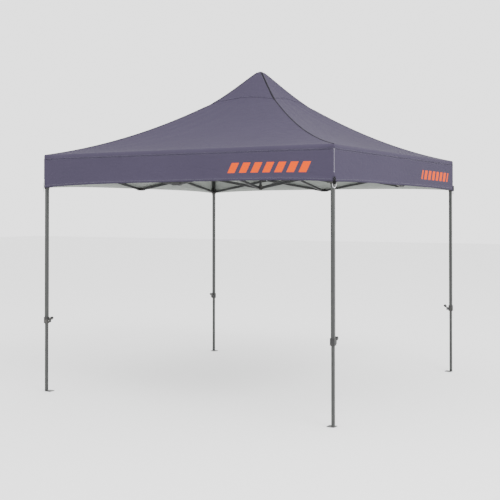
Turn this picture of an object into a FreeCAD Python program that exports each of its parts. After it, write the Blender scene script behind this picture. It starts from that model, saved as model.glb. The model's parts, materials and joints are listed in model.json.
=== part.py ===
"""Folding canopy shelter: a square fabric roof on four telescopic legs and a scissor truss.

The frame's origin is on the ground under the centre of the roof, +Z is up, and the four sides
face +X, +Y, -X and -Y.  Everything repeats four times about the Z axis, so each sub-part is
built once in a local frame, in a loop, and turned into its quadrant by its Placement.

Local frames:
  bars      origin at the middle pivot, X along the bar, Y across the pair, Z up
  brackets  origin on the leg axis, side middle or hub axis, at the height of its pivots
  legs      origin on the leg axis at ground level
"""
import FreeCAD, Part

import math
import os

import Sketcher

from FreeCAD import Placement, Rotation, Vector

DIMENSIONS = {
    "leg_offset": 1470.0,         # leg axes from the centre, along X and along Y
    "upper_pivot": 2168.0,        # height of every upper pivot
    "truss_depth": 250.0,         # lower pivots under the upper ones
    "leg_width": 30.0,            # outer leg, square tube
    "leg_wall": 1.3,
    "leg_corner": 4.0,
    "tube_gap": 1.2,              # between the lower leg and the outer leg on each side
    "inner_wall": 1.1,
    "inner_corner": 3.0,
    "inner_top": 1010.0,          # top end of the lower leg inside the outer leg
    "hole_pitch": 75.0,           # height settings of the lower leg
    "hole_radius": 4.0,
    "foot_width": 66.0,
    "foot_thick": 4.0,
    "foot_shift": 20.0,           # foot plate set in from the leg axis
    "peg_radius": 4.5,
    "peg_inset": 10.8,            # peg holes from the edges of the foot plate
    "collar_height": 664.0,       # middle of the locking collar
    "collar_width": 40.0,
    "collar_length": 58.0,
    "collar_boss": 24.0,          # lever boss beyond the collar's face
    "collar_lip": 8.0,            # guide lip under the end of the outer leg
    "boss_rise": 6.0,             # top and foot of the boss from the collar's middle
    "boss_drop": 20.0,
    "slot_floor": 1.0,            # lever slot short of the collar's face
    "pin_stand": 1.0,             # lever pin out of the fork on each side
    "pin_inset": 9.0,             # lever pin from the end of the boss
    "pin_drop": 4.0,              # lever pin under the collar's middle
    "lever_width": 18.0,
    "lever_length": 48.0,
    "lever_thick": 9.0,
    "grip_length": 26.0,
    "grip_width": 26.0,
    "grip_thick": 20.0,
    "knuckle_radius": 7.0,
    "block_round": 3.0,           # rounded upright edges of the moulded blocks
    "bar_thick": 12.0,            # truss bars, rectangular tube
    "bar_depth": 25.0,
    "bar_wall": 1.0,
    "bar_corner": 2.0,
    "bar_end": 12.0,              # bar beyond its end pivots
    "pair_gap": 1.0,              # between the two bars of a crossed pair
    "leg_reach": 42.0,            # bracket pivots from the leg axis
    "mid_reach": 32.0,            # side pivots from the middle of a side
    "mid_inset": 38.0,            # radial pivot in from the side
    "rivet_radius": 3.0,
    "rivet_head": 6.0,
    "head_thick": 3.0,
    "running_gap": 0.3,           # between pieces that move past each other
    "rivet_gap": 0.08,            # round a rivet
    "cheek_thick": 4.0,
    "cheek_radius": 15.0,
    "sleeve_wall": 3.0,
    "bracket_rise": 33.0,         # leg bracket above and below its pivots
    "bracket_drop": 33.0,
    "slider_half": 26.0,
    "barrel_radius": 17.0,        # hubs
    "barrel_half": 25.0,
    "pole_radius": 12.5,
    "pole_wall": 1.2,
    "cap_radius": 34.0,
    "cap_height": 22.0,
    "cap_round": 19.8,            # rounding of the cap's top edge
    "cap_drop": 42.0,             # top of the pole cap under the peak
    "skin": 1.5,                  # canopy cloth, with its seams
    "cloth_gap": 0.7,             # between the outermost rivet heads and the valance
    "eave_gap": 3.5,              # between the leg brackets and the roof
    "roof_rise": 866.0,           # peak over the eave
    "peak_half": 22.0,            # half width of the blunt tip
    "crown_half": 400.0,          # half width of the steep crown of the roof
    "crown_foot": 498.8,          # foot of the crown over the eave
    "slope_straight": 0.468,      # straight share of the slope up to the crown
    "crown_power": 1.18,          # how hollow the crown is
    "valance_depth": 310.0,
    "tab_width": 25.0,
    "tab_thick": 2.0,
    "tab_gap": 0.5,               # between the corner of the valance and a tab
    "tab_length": 2.0,            # tab below the valance
    "tab_lap": 54.0,              # tab up the valance
    "ring_radius": 14.0,
    "ring_wire": 2.2,
    "spare": 1.0,                 # how far a cutting tool reaches past what it cuts
}

DERIVED = {                       # sizes that follow from what they fit to
    "lower_pivot": "upper_pivot - truss_depth",
    "inner_width": "leg_width - 2 * leg_wall - 2 * tube_gap",
    "rivet_end": "bar_thick + pair_gap / 2 + running_gap + cheek_thick + head_thick",
    "sleeve_end": "leg_width / 2 + running_gap + sleeve_wall",
    "canopy_half": "leg_offset + max(rivet_end; sleeve_end) + cloth_gap + skin",
    "eave": "upper_pivot + bracket_rise + eave_gap + skin",
    "peak": "eave + roof_rise",
    "valance_bottom": "eave - valance_depth",
}

SIDES = ("right", "back", "left", "front")
LEGS = ("back_right", "back_left", "front_left", "front_right")
HALVES = (("a", -1), ("b", 1))
SLOPE_STEPS = 5                  # flat steps of the roof below the crown, and of the crown
CROWN_STEPS = 3
QUARTER = 90.0
LEVER_TURN = -135.0              # lever from lying along +X to standing up and out
HALF_PAIR = "(dims.bar_thick + dims.pair_gap) / 2"
RUN = "(dims.leg_offset - dims.leg_reach - dims.mid_reach)"
HUB_REACH = "(dims.leg_reach + dims.mid_reach - dims.mid_inset)"
BAR_SPAN = f"sqrt({RUN} ^ 2 + (dims.upper_pivot - dims.lower_pivot) ^ 2)"
CHEEK_INNER = "(dims.bar_thick / 2 + dims.running_gap)"
RIVET_REACH = f"({CHEEK_INNER} + dims.cheek_thick)"

doc = FreeCAD.newDocument("canopy_shelter")
nodes = []


def make_sheet():
    """The spreadsheet that holds every size, set or derived, under its alias."""
    sheet = doc.addObject("Spreadsheet::Sheet", "dims")
    cells = {**DIMENSIONS, **{alias: f"={formula}" for alias, formula in DERIVED.items()}}
    for row, (alias, content) in enumerate(cells.items(), start=1):
        sheet.set(f"A{row}", alias)
        sheet.set(f"B{row}", str(content))
        sheet.setAlias(f"B{row}", alias)
    doc.recompute()
    return sheet


def bind(item, **sizes):
    """Bind an object's properties to expressions of the sheet."""
    for name, expression in sizes.items():
        item.setExpression(name, str(expression))


def move(item, x="0", y="0", z="0"):
    """Bind an object's position to expressions."""
    for axis, expression in zip("xyz", (x, y, z)):
        item.setExpression(f"Placement.Base.{axis}", f"({expression}) * 1 mm")


def turned(axis, degrees):
    """Rotation about one of the frame's axes."""
    return Rotation(Vector(*axis), degrees)


# ---------------------------------------------------------------- Part primitives
def box(name, x, y, z):
    """Box between (low, high) expressions along each axis."""
    item = doc.addObject("Part::Box", name)
    bind(item, Length=f"({x[1]}) - ({x[0]})", Width=f"({y[1]}) - ({y[0]})")
    bind(item, Height=f"({z[1]}) - ({z[0]})")
    move(item, x[0], y[0], z[0])
    return item


def rod(name, axis, radius, start, end, at=("0", "0", "0")):
    """Cylinder along X, Y or Z from start to end, on the line through at."""
    item = doc.addObject("Part::Cylinder", name)
    turn = {"X": turned((0, 1, 0), 90), "Y": turned((1, 0, 0), -90), "Z": Rotation()}[axis]
    item.Placement = Placement(Vector(), turn)
    bind(item, Radius=radius, Height=f"({end}) - ({start})")
    place = list(at)
    place["XYZ".index(axis)] = start
    move(item, *place)
    return item


def fuse(name, items):
    """Union of several solids."""
    item = doc.addObject("Part::MultiFuse", name)
    item.Shapes = items
    item.Refine = True
    return item


def cut(name, base, tool):
    """Base without tool."""
    item = doc.addObject("Part::Cut", name)
    item.Base = base
    item.Tool = tool
    item.Refine = True
    return item


def rounded(name, solid, axis):
    """A block with its edges along one axis rounded."""
    doc.recompute()
    item = doc.addObject("Part::Fillet", name)
    item.Base = solid
    radius = float(doc.dims.block_round)
    item.Edges = [(number, radius, radius) for number in edges_along(solid, axis)]
    return item


def gather(name, items):
    """Several separate solids held as one rigid node."""
    item = doc.addObject("Part::Compound", name)
    item.Links = items
    return item


def edges_along(item, axis):
    """Numbers of an object's straight edges that run along one axis, counted from 1."""
    found = []
    for number, edge in enumerate(item.Shape.Edges, start=1):
        ends = [vertex.Point for vertex in edge.Vertexes]
        if len(ends) == 2 and abs((ends[1] - ends[0]).normalize().dot(Vector(*axis))) > 0.999:
            found.append(number)
    return found


def node(item, label, placement=None):
    """Register a finished sub-part: its Label names its file."""
    item.Label = label
    if placement is not None:
        item.Placement = placement
    nodes.append(item)
    return item


def quadrant(index, x=0.0, y=0.0, z=0.0, extra=None):
    """Placement of a local frame at (x, y, z), turned into quadrant index about Z."""
    local = Placement(Vector(x, y, z), extra or Rotation())
    return Placement(Vector(), turned((0, 0, 1), QUARTER * index)).multiply(local)


# ---------------------------------------------------------------- PartDesign helpers
def new_body(name):
    """Empty body."""
    return doc.addObject("PartDesign::Body", name)


def new_sketch(body, name, plane):
    """Sketch on one of the body's own origin planes."""
    sketch = body.newObject("Sketcher::SketchObject", name)
    support = [item for item in body.Origin.OriginFeatures if item.Role == plane][0]
    sketch.AttachmentSupport = [(support, "")]
    sketch.MapMode = "FlatFace"
    return sketch


def draw_rectangle(sketch, width, height):
    """Rectangle centred on the sketch's origin, its sizes bound to expressions."""
    corners = [Vector(-5, -5, 0), Vector(5, -5, 0), Vector(5, 5, 0), Vector(-5, 5, 0)]
    first = sketch.GeometryCount
    for start, end in zip(corners, corners[1:] + corners[:1]):
        sketch.addGeometry(Part.LineSegment(start, end), False)
    lines = [first + step for step in range(4)]
    for one, two in zip(lines, lines[1:] + lines[:1]):
        sketch.addConstraint(Sketcher.Constraint("Coincident", one, 2, two, 1))
    for line, direction in zip(lines, ("Horizontal", "Vertical", "Horizontal", "Vertical")):
        sketch.addConstraint(Sketcher.Constraint(direction, line))
    sketch.addConstraint(Sketcher.Constraint("Symmetric", lines[0], 1, lines[1], 2, -1, 1))
    across = sketch.addConstraint(Sketcher.Constraint("DistanceX", lines[0], 1, lines[0], 2, 10))
    upright = sketch.addConstraint(Sketcher.Constraint("DistanceY", lines[1], 1, lines[1], 2, 10))
    sketch.setExpression(f"Constraints[{across}]", width)
    sketch.setExpression(f"Constraints[{upright}]", height)


def draw_circle(sketch, radius, x="0", y="0"):
    """Circle whose radius and centre are bound to expressions."""
    circle = sketch.addGeometry(Part.Circle(Vector(1, 1, 0), Vector(0, 0, 1), 2), False)
    round_size = sketch.addConstraint(Sketcher.Constraint("Radius", circle, 2))
    sketch.setExpression(f"Constraints[{round_size}]", radius)
    for kind, place in (("DistanceX", x), ("DistanceY", y)):
        distance = sketch.addConstraint(Sketcher.Constraint(kind, -1, 1, circle, 3, 1))
        sketch.setExpression(f"Constraints[{distance}]", place)


def pad(body, name, sketch, length, symmetric=False):
    """Pad of a sketch along its normal."""
    feature = body.newObject("PartDesign::Pad", name)
    feature.Profile = sketch
    feature.SideType = "Symmetric" if symmetric else "One side"
    bind(feature, Length=length)
    return feature


def pocket_through(body, name, sketch):
    """Pocket of a sketch through everything on both sides of its plane."""
    feature = body.newObject("PartDesign::Pocket", name)
    feature.Profile = sketch
    feature.SideType = "Symmetric"
    feature.Type = "ThroughAll"
    return feature


def round_long_edges(body, name, feature, axis, radius):
    """Fillet the edges of a feature that run along one axis."""
    doc.recompute()
    names = [f"Edge{number}" for number in edges_along(feature, axis)]
    fillet = body.newObject("PartDesign::Fillet", name)
    fillet.Base = (feature, names)
    bind(fillet, Radius=radius)
    return fillet


def square_tube(body, name, plane, axis, sizes, length, symmetric=False):
    """Rectangular tube with rounded outer edges; sizes are (width, height, wall, corner)."""
    width, height, wall, corner = sizes
    outline = new_sketch(body, f"{name}_outline", plane)
    draw_rectangle(outline, width, height)
    solid = pad(body, f"{name}_solid", outline, length, symmetric)
    round_long_edges(body, f"{name}_rounds", solid, axis, corner)
    hollow = new_sketch(body, f"{name}_hollow", plane)
    draw_rectangle(hollow, f"{width} - 2 * {wall}", f"{height} - 2 * {wall}")
    return pocket_through(body, f"{name}_bore", hollow)


# ---------------------------------------------------------------- shared details
def rivet(name, axis, start, end, at):
    """Rivet along an axis: a shank with a head outside each end of the riveted stack."""
    head_end = f"({end}) + dims.head_thick"
    head_start = f"({start}) - dims.head_thick"
    return fuse(name, [
        rod(f"{name}_shank", axis, "dims.rivet_radius", head_start, head_end, at),
        rod(f"{name}_head_one", axis, "dims.rivet_head", head_start, start, at),
        rod(f"{name}_head_two", axis, "dims.rivet_head", end, head_end, at),
    ])


class Arm:
    """Fork of a bracket: two cheeks that hold the end of a bar on a rivet.

    The fork leaves its bracket along X or Y; root and reach are signed distances of the fork's
    root and its pivot along that axis, and middle is the bar's middle plane on the other axis.
    """

    def __init__(self, name, along, root, reach, middle):
        self.name = name
        self.along = along
        self.across = "Y" if along == "X" else "X"
        self.root = root
        self.reach = reach
        self.middle = middle

    def cheeks(self):
        """Both cheeks, each a plate with a round end."""
        found = []
        low_side = (f"({self.middle}) - {RIVET_REACH}", f"({self.middle}) - {CHEEK_INNER}")
        high_side = (f"({self.middle}) + {CHEEK_INNER}", f"({self.middle}) + {RIVET_REACH}")
        for tag, side in (("low", low_side), ("high", high_side)):
            span = (f"min({self.root}; {self.reach})", f"max({self.root}; {self.reach})")
            x, y = (span, side) if self.along == "X" else (side, span)
            name = f"{self.name}_{tag}"
            upright = ("-dims.cheek_radius", "dims.cheek_radius")
            found.append(box(f"{name}_plate", x, y, upright))
            found.append(rod(f"{name}_end", self.across, "dims.cheek_radius", *side, self.pivot()))
        return found

    def pivot(self):
        """A point on the pivot axis."""
        return (self.reach, "0", "0") if self.along == "X" else ("0", self.reach, "0")

    def stack(self):
        """Outer faces of the two cheeks across the fork."""
        return f"({self.middle}) - {RIVET_REACH}", f"({self.middle}) + {RIVET_REACH}"

    def hole(self):
        """Tool that drills both cheeks to the rivet's size."""
        start, end = self.stack()
        return rod(f"{self.name}_hole", self.across, "dims.rivet_radius", start, end, self.pivot())

    def rivet(self):
        """The rivet that the bar turns on."""
        return rivet(f"{self.name}_rivet", self.across, *self.stack(), self.pivot())


def bracket(label, core, arms, tools=(), extras=()):
    """A moulding of core solids and forks, drilled, with its rivets and extras beside it."""
    solids = list(core)
    for arm in arms:
        solids += arm.cheeks()
    moulding = fuse(f"{label}_solid", solids)
    drills = fuse(f"{label}_drills", [arm.hole() for arm in arms] + list(tools))
    body = cut(f"{label}_moulding", moulding, drills)
    return gather(f"{label}_set", [body] + [arm.rivet() for arm in arms] + list(extras))


# ---------------------------------------------------------------- truss bars
def truss_bar(label, crossing_rivet, placement):
    """One bar of a crossed pair; one bar of each pair carries the rivet at the crossing."""
    body = new_body(f"{label}_tube")
    sizes = ("dims.bar_thick", "dims.bar_depth", "dims.bar_wall", "dims.bar_corner")
    square_tube(body, label, "YZ_Plane", (1, 0, 0), sizes, f"{BAR_SPAN} + 2 * dims.bar_end", True)
    holes = new_sketch(body, f"{label}_holes", "XZ_Plane")
    for place in (f"-{BAR_SPAN} / 2", "0", f"{BAR_SPAN} / 2"):
        draw_circle(holes, "dims.rivet_radius + dims.rivet_gap", place)
    pocket_through(body, f"{label}_drilling", holes)
    if not crossing_rivet:
        return node(body, label, placement)
    near = "-dims.bar_thick / 2"
    far = "dims.bar_thick * 3 / 2 + dims.pair_gap + dims.running_gap"
    pin = rivet(f"{label}_rivet", "Y", near, far, ("0", "0", "0"))
    return node(gather(f"{label}_set", [body, pin]), label, placement)


def bar_layout(sheet):
    """Pair offset, horizontal run, slope in degrees and mid height of the truss bars."""
    offset = (sheet.bar_thick + sheet.pair_gap) / 2
    run = sheet.leg_offset - sheet.leg_reach - sheet.mid_reach
    slope = math.degrees(math.atan2(sheet.upper_pivot - sheet.lower_pivot, run))
    return offset, run, slope, (sheet.upper_pivot + sheet.lower_pivot) / 2


def side_bars(sheet):
    """Sixteen bars: two crossed pairs along each side."""
    offset, run, slope, height = bar_layout(sheet)
    for index, side in enumerate(SIDES):
        for half, sign in HALVES:
            middle = sign * (sheet.mid_reach + run / 2)
            along = turned((0, 0, 1), QUARTER * sign)
            for name, plane, tilt in (("rising", offset, -slope), ("falling", -offset, slope)):
                extra = along.multiply(turned((0, 1, 0), tilt))
                spot = quadrant(index, sheet.leg_offset + plane, middle, height, extra)
                carries = (name == "rising") == (sign > 0)
                truss_bar(f"{name}_bar_{side}_{half}", carries, spot)


def radial_bars(sheet):
    """Eight bars: one crossed pair from the hubs to the middle of each side."""
    offset, run, slope, height = bar_layout(sheet)
    middle = sheet.leg_offset - sheet.mid_inset - run / 2
    for index, side in enumerate(SIDES):
        for name, plane, tilt in (("upper", offset, slope), ("lower", -offset, -slope)):
            spot = quadrant(index, middle, plane, height, turned((0, 1, 0), tilt))
            truss_bar(f"{name}_hub_bar_{side}", name == "lower", spot)


# ---------------------------------------------------------------- brackets and hubs
def leg_arms(label, plane):
    """The two forks of a leg bracket, towards the two neighbouring legs."""
    reach = "-dims.leg_reach"
    root = "-dims.leg_width / 2"
    return [Arm(f"{label}_{along}", along, root, reach, plane) for along in ("X", "Y")]


def square_hole(label, half, low, high):
    """Square tool around the leg axis."""
    return box(label, (f"-{half}", half), (f"-{half}", half), (low, high))


def leg_sleeve(label, half, low, high):
    """Square block around the leg axis, its upright edges rounded."""
    return rounded(f"{label}_sleeve", square_hole(f"{label}_sleeve_block", half, low, high), (0, 0, 1))


def leg_fittings(sheet):
    """Per leg: the closed bracket on its top and the locking collar on its bottom end."""
    half = "(dims.leg_width / 2 + dims.sleeve_wall)"
    inside = "dims.leg_width / 2"
    for index, leg in enumerate(LEGS):
        label = f"leg_fittings_{leg}"
        top = f"{label}_top"
        core = [leg_sleeve(top, half, "-dims.bracket_drop", "dims.bracket_rise")]
        bore = square_hole(f"{top}_bore", inside, "-dims.bracket_drop - dims.spare", "dims.barrel_half")
        cap = bracket(top, core, leg_arms(top, HALF_PAIR), [bore])
        collar = locking_collar(f"{label}_collar")
        move(collar, z="dims.collar_height - dims.upper_pivot")
        spot = quadrant(index, sheet.leg_offset, sheet.leg_offset, sheet.upper_pivot)
        node(gather(f"{label}_set", [cap, collar]), label, spot)


def locking_collar(label):
    """Collar with a guide lip under the outer leg and a forked boss for the lever, along -X."""
    half = "dims.collar_width / 2"
    low = "-dims.collar_length / 2"
    high = "dims.collar_length / 2"
    block = leg_sleeve(f"{label}_block", half, low, high)
    boss_end = f"-{half} - dims.collar_boss"
    fork = "(dims.lever_width / 2 + dims.running_gap + dims.sleeve_wall)"
    boss = box(f"{label}_boss", (boss_end, "0"), (f"-{fork}", fork), ("-dims.boss_drop", "dims.boss_rise"))
    slot_half = "(dims.lever_width / 2 + dims.running_gap)"
    slot = box(f"{label}_slot", (f"{boss_end} - dims.spare", f"-{half} - dims.slot_floor"),
               (f"-{slot_half}", slot_half),
               ("-dims.boss_drop - dims.spare", "dims.boss_rise + dims.spare"))
    seat_low = f"{low} + dims.collar_lip"
    seat = square_hole(f"{label}_seat", "dims.leg_width / 2", seat_low, f"{high} + dims.spare")
    guide_half = "(dims.inner_width / 2 + dims.running_gap)"
    guide = square_hole(f"{label}_guide", guide_half, f"{low} - dims.spare", high)
    pin_place = (f"{boss_end} + dims.pin_inset", "0", "-dims.pin_drop")
    hole = rod(f"{label}_hole", "Y", "dims.rivet_radius", f"-{fork}", fork, pin_place)
    shell = cut(f"{label}_shell", fuse(f"{label}_solid", [block, boss]),
                fuse(f"{label}_tools", [slot, seat, guide, hole]))
    pin = rod(f"{label}_pin", "Y", "dims.rivet_radius", f"-{fork} - dims.pin_stand",
              f"{fork} + dims.pin_stand", pin_place)
    return gather(f"{label}_set", [shell, pin])


def lock_levers(sheet):
    """The sprung lever of each collar, standing up and out at 45 degrees."""
    pin = sheet.collar_width / 2 + sheet.collar_boss - sheet.pin_inset
    for index, leg in enumerate(LEGS):
        label = f"lock_lever_{leg}"
        half = "dims.lever_width / 2"
        thick = ("-dims.lever_thick / 2", "dims.lever_thick / 2")
        paddle = box(f"{label}_paddle", ("0", "dims.lever_length"), (f"-{half}", half), thick)
        grip = rounded(f"{label}_grip", box(
            f"{label}_grip_block", ("dims.lever_length - dims.grip_length", "dims.lever_length"),
            ("-dims.grip_width / 2", "dims.grip_width / 2"),
            ("-dims.grip_thick / 2", "dims.grip_thick / 2")), (0, 1, 0))
        knuckle = rod(f"{label}_knuckle", "Y", "dims.knuckle_radius", f"-{half}", half)
        hole = rod(f"{label}_hole", "Y", "dims.rivet_radius + dims.rivet_gap", f"-{half}", half)
        solid = cut(f"{label}_solid", fuse(f"{label}_blank", [paddle, grip, knuckle]), hole)
        height = sheet.collar_height - sheet.pin_drop
        tilt = turned((0, 1, 0), LEVER_TURN)
        node(solid, label, quadrant(index, sheet.leg_offset - pin, sheet.leg_offset, height, tilt))


def sliders(sheet):
    """The bracket that slides on each outer leg."""
    half = "(dims.leg_width / 2 + dims.running_gap + dims.sleeve_wall)"
    inside = "(dims.leg_width / 2 + dims.running_gap)"
    for index, leg in enumerate(LEGS):
        label = f"slider_{leg}"
        core = [leg_sleeve(label, half, "-dims.slider_half", "dims.slider_half")]
        bore = square_hole(f"{label}_bore", inside, "-dims.slider_half - dims.spare",
                           "dims.slider_half + dims.spare")
        plane = f"-{HALF_PAIR}"
        spot = quadrant(index, sheet.leg_offset, sheet.leg_offset, sheet.lower_pivot)
        node(bracket(label, core, leg_arms(label, plane), [bore]), label, spot)


def mid_brackets(sheet):
    """The upper and lower three-way brackets in the middle of each side."""
    root = "(dims.mid_reach - dims.cheek_radius - dims.bar_end / 2)"
    for index, side in enumerate(SIDES):
        for name, plane, height in (("lower", HALF_PAIR, sheet.lower_pivot),
                                    ("upper", f"-{HALF_PAIR}", sheet.upper_pivot)):
            label = f"{name}_mid_bracket_{side}"
            stack = (f"{plane} - {RIVET_REACH}", f"{plane} + {RIVET_REACH}")
            upright = ("-dims.cheek_radius", "dims.cheek_radius")
            core = [box(f"{label}_core", stack, (f"-{root}", root), upright)]
            inward = f"({plane} - {CHEEK_INNER})"
            arms = [
                Arm(f"{label}_a", "Y", "0", "-dims.mid_reach", plane),
                Arm(f"{label}_b", "Y", "0", "dims.mid_reach", plane),
                Arm(f"{label}_hub", "X", inward, "-dims.mid_inset", plane),
            ]
            spot = quadrant(index, sheet.leg_offset, 0.0, height)
            node(bracket(label, core, arms), label, spot)


def hub(label, plane, tools, extras, height):
    """Round hub with four forks; each fork is turned a quarter from the last."""
    barrel = rod(f"{label}_barrel", "Z", "dims.barrel_radius",
                 "-dims.barrel_half", "dims.barrel_half")
    arms = [
        Arm(f"{label}_right", "X", "dims.rivet_radius", HUB_REACH, plane),
        Arm(f"{label}_back", "Y", "dims.rivet_radius", HUB_REACH, f"-({plane})"),
        Arm(f"{label}_left", "X", "-dims.rivet_radius", f"-{HUB_REACH}", f"-({plane})"),
        Arm(f"{label}_front", "Y", "-dims.rivet_radius", f"-{HUB_REACH}", plane),
    ]
    spot = Placement(Vector(0, 0, height), Rotation())
    return node(bracket(label, [barrel] + extras, arms, tools), label, spot)


def hubs(sheet):
    """The upper hub, which the pole slides through, and the lower hub, which it stands in."""
    bore = "(dims.pole_radius + dims.running_gap)"
    above = "dims.barrel_half + dims.spare"
    through = rod("upper_bore", "Z", bore, "-dims.barrel_half - dims.spare", above)
    hub("upper_hub", HALF_PAIR, [through], [], sheet.upper_pivot)
    cup = rod("lower_bore", "Z", bore, "-dims.barrel_half + dims.sleeve_wall", above)
    hub("lower_hub", f"-({HALF_PAIR})", [cup], [], sheet.lower_pivot)


# ---------------------------------------------------------------- legs and pole
def outer_legs(sheet):
    """Upper leg tubes, from the collar to the top bracket."""
    foot = "(dims.collar_height - dims.collar_length / 2 + dims.collar_lip)"
    top = "(dims.upper_pivot + dims.barrel_half)"
    sizes = ("dims.leg_width", "dims.leg_width", "dims.leg_wall", "dims.leg_corner")
    base = sheet.collar_height - sheet.collar_length / 2 + sheet.collar_lip
    for index, leg in enumerate(LEGS):
        label = f"outer_leg_{leg}"
        body = new_body(f"{label}_tube")
        square_tube(body, label, "XY_Plane", (0, 0, 1), sizes, f"{top} - {foot}")
        node(body, label, quadrant(index, sheet.leg_offset, sheet.leg_offset, base))


def lower_legs(sheet):
    """Lower leg tubes with their height holes, each welded to a foot plate with peg holes."""
    sizes = ("dims.inner_width", "dims.inner_width", "dims.inner_wall", "dims.inner_corner")
    for index, leg in enumerate(LEGS):
        label = f"lower_leg_{leg}"
        body = new_body(f"{label}_tube")
        length = "dims.inner_top - dims.foot_thick"
        square_tube(body, label, "XY_Plane", (0, 0, 1), sizes, length)
        holes = new_sketch(body, f"{label}_holes", "YZ_Plane")
        for step in range(1, 4):
            height = f"dims.collar_height - dims.collar_length / 2 - {step} * dims.hole_pitch"
            draw_circle(holes, "dims.hole_radius", "0", height)
        drilling = body.newObject("PartDesign::Pocket", f"{label}_drilling")
        drilling.Profile = holes
        drilling.Reversed = True
        bind(drilling, Length="dims.inner_width")
        move(body, z="dims.foot_thick")
        welded = gather(f"{label}_set", [body, foot_plate(f"{label}_foot")])
        node(welded, label, quadrant(index, sheet.leg_offset, sheet.leg_offset, 0.0))


def foot_plate(label):
    """Square plate set in from the leg, with two peg holes in its inner corners."""
    body = new_body(f"{label}_plate")
    outline = new_sketch(body, f"{label}_outline", "XY_Plane")
    draw_rectangle(outline, "dims.foot_width", "dims.foot_width")
    plate = pad(body, f"{label}_pad", outline, "dims.foot_thick")
    round_long_edges(body, f"{label}_rounds", plate, (0, 0, 1), "dims.peg_radius")
    holes = new_sketch(body, f"{label}_holes", "XY_Plane")
    inset = "(dims.foot_width / 2 - dims.peg_inset)"
    draw_circle(holes, "dims.peg_radius", f"-{inset}", f"{inset}")
    draw_circle(holes, "dims.peg_radius", f"{inset}", f"-{inset}")
    pocket_through(body, f"{label}_drilling", holes)
    move(body, "-dims.foot_shift", "-dims.foot_shift")
    return body


def peak_pole():
    """Tube from the lower hub's cup up to a mushroom cap under the peak."""
    foot = "(dims.lower_pivot - dims.barrel_half + dims.sleeve_wall)"
    cap_base = "(dims.peak - dims.cap_drop - dims.cap_height)"
    tube = rod("pole_tube", "Z", "dims.pole_radius", foot, cap_base)
    bore = rod("pole_bore", "Z", "dims.pole_radius - dims.pole_wall", foot, cap_base)
    node(cut("pole_cut", tube, bore), "peak_pole")


def pole_cap():
    """Domed cap that carries the peak of the cloth."""
    body = new_body("cap_body")
    outline = new_sketch(body, "cap_outline", "XY_Plane")
    draw_circle(outline, "dims.cap_radius")
    disc = pad(body, "cap_disc", outline, "dims.cap_height")
    doc.recompute()
    top_edge = max(range(len(disc.Shape.Edges)),
                   key=lambda number: disc.Shape.Edges[number].BoundBox.ZMin)
    dome = body.newObject("PartDesign::Fillet", "cap_dome")
    dome.Base = (disc, [f"Edge{top_edge + 1}"])
    bind(dome, Radius="dims.cap_round")
    move(body, z="dims.peak - dims.cap_drop - dims.cap_height")
    node(body, "pole_cap")


# ---------------------------------------------------------------- canopy
def roof_levels():
    """(half width, height) expressions of the roof's square sections, from the eave to the tip."""
    levels = []
    crown_foot = "(dims.eave + dims.crown_foot)"
    for step in range(SLOPE_STEPS + 1):
        share = step / SLOPE_STEPS
        bend = f"(dims.slope_straight * {share} + (1 - dims.slope_straight) * {share} ^ 2)"
        levels.append((f"(dims.canopy_half + (dims.crown_half - dims.canopy_half) * {share})",
                       f"(dims.eave + ({crown_foot} - dims.eave) * {bend})"))
    for step in range(1, CROWN_STEPS + 1):
        share = step / CROWN_STEPS
        levels.append((f"(dims.crown_half + (dims.peak_half - dims.crown_half) * {share})",
                       f"({crown_foot} + (dims.peak - {crown_foot}) * {share} ^ dims.crown_power)"))
    return levels


def roof_loft(body, name, kind, inset):
    """Loft of square sections from the eave to the tip, set in and lowered by the inset."""
    sections = []
    for step, (half, height) in enumerate(roof_levels()):
        sketch = new_sketch(body, f"{name}_level_{step}", "XY_Plane")
        side = f"2 * ({half} - {inset})"
        draw_rectangle(sketch, side, side)
        sketch.setExpression("AttachmentOffset.Base.z", f"({height} - {inset}) * 1 mm")
        sections.append(sketch)
    loft = body.newObject(kind, name)
    loft.Profile = sections[0]
    loft.Sections = sections[1:]
    loft.Ruled = True
    return loft


def side_wedge(name, low, high):
    """Tool that covers the quarter of the plan in front of the +X side, between two heights."""
    edge = ("0", "2 * dims.canopy_half")
    tool = box(name, edge, edge, (low, high))
    tool.Placement = Placement(Vector(), turned((0, 0, 1), -QUARTER / 2))
    return tool


def common(name, solid, tool):
    """The part of a solid inside a tool."""
    item = doc.addObject("Part::MultiCommon", name)
    item.Shapes = [solid, tool]
    return item


def valance_ring():
    """Straight border of cloth all round, under the eave."""
    outer = ("-dims.canopy_half", "dims.canopy_half")
    inner = ("-dims.canopy_half + dims.skin", "dims.canopy_half - dims.skin")
    block = box("valance_block", outer, outer, ("dims.valance_bottom", "dims.eave"))
    hollow = box("valance_hollow", inner, inner,
                 ("dims.valance_bottom - dims.spare", "dims.eave + dims.spare"))
    return cut("valance_ring", block, hollow)


def canopy():
    """Cloth roof of four hollow panels sewn along the hips, each with its strip of valance."""
    roof = new_body("roof_body")
    roof_loft(roof, "roof", "PartDesign::AdditiveLoft", "0")
    roof_loft(roof, "roof_hollow", "PartDesign::SubtractiveLoft", "dims.skin")
    panel = common("roof_panel", roof,
                   side_wedge("roof_wedge", "dims.eave - dims.spare", "dims.peak + dims.spare"))
    strip = common("valance_strip", valance_ring(),
                   side_wedge("valance_wedge", "dims.valance_bottom - dims.spare",
                              "dims.eave + dims.spare"))
    pieces = []
    for index, side in enumerate(SIDES):
        holder = gather(f"canopy_{side}", [panel, strip])
        holder.Placement = quadrant(index)
        pieces.append(holder)
    node(gather("canopy_set", pieces), "canopy")


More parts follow.
